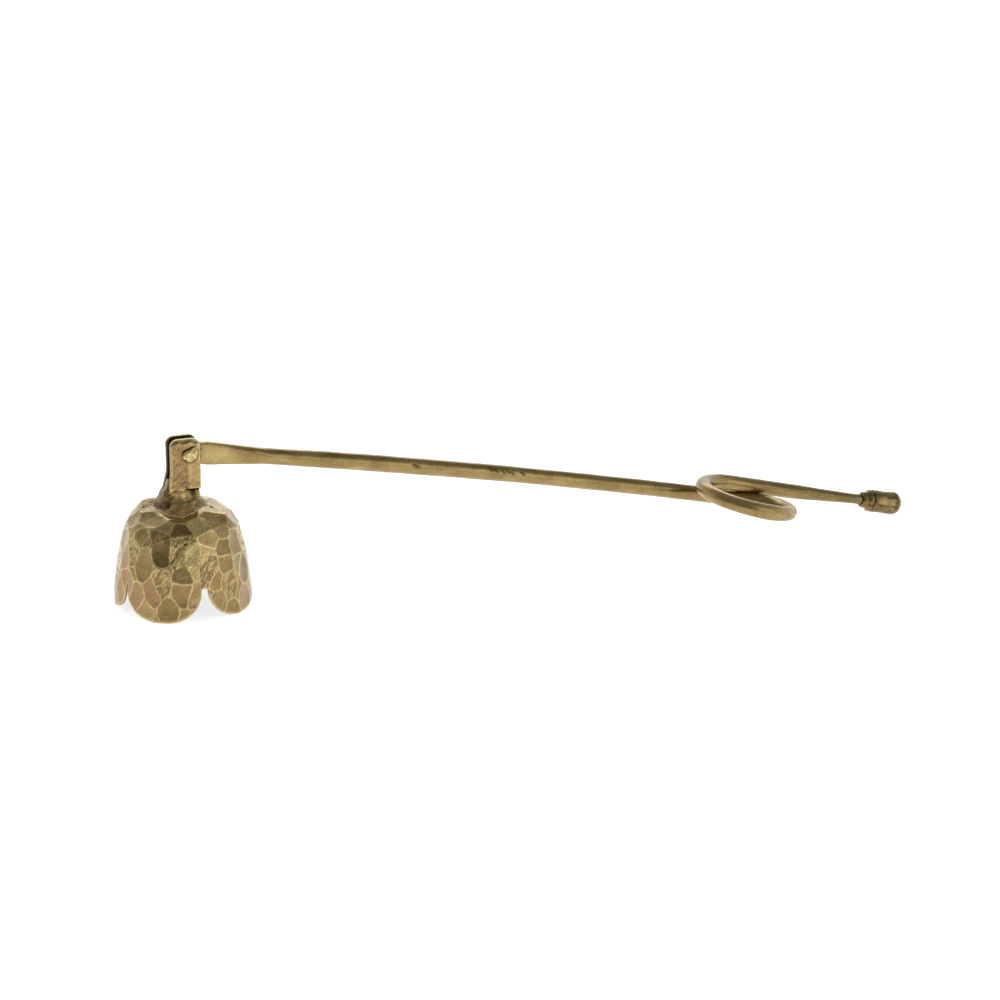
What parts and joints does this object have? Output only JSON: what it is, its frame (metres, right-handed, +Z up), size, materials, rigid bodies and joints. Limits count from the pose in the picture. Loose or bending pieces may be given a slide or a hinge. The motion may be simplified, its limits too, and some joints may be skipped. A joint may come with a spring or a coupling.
{
  "type": "hinged candle snuffer",
  "caption": "Tulip-shaped hammered bell riveted in a fork to a long slender handle with a finger loop and an end knob, for putting out a candle flame.",
  "frame": {"origin": "centre of the bell's mouth, on the plane that the petal tips stand on", "axes": "+Z up along the bell's axis; +X along the handle from the bell to the end knob; the hinge pin lies along Y"},
  "size_m": [0.251, 0.0511, 0.0494],
  "materials": {
    "bell_brass": "hand-hammered sheet brass, aged, waxed facets with brighter worn ridges",
    "post_brass": "filed and hammered brass, aged, darker in the corners",
    "cheek_brass": "rough filed brass plate, aged, with a smoother worn edge",
    "braze_metal": "lumpy brazing metal, half polished, slightly coppery",
    "rivet_brass": "hammered rivet brass with a dark crease round the head",
    "handle_brass": "drawn brass rod, satin with dark age toning and small nicks",
    "knob_brass": "turned and filed brass, dark toning in the groove"
  },
  "bodies": {
    "bell_assembly": {"bell": "bell_brass", "neck_post": "post_brass", "front_cheek": "cheek_brass", "rear_cheek": "cheek_brass", "braze_fillet": "braze_metal", "hinge_pin": "rivet_brass"},
    "handle": {"handle_rod": "handle_brass", "end_knob": "knob_brass"}
  },
  "joints": [
    {"name": "handle_swing", "type": "hinge", "parent": "bell_assembly", "child": "handle", "pos_m": [0.0025, 0, 0.04485], "axis": [0, -1, 0], "range_deg": [-34, 215]}
  ]
}
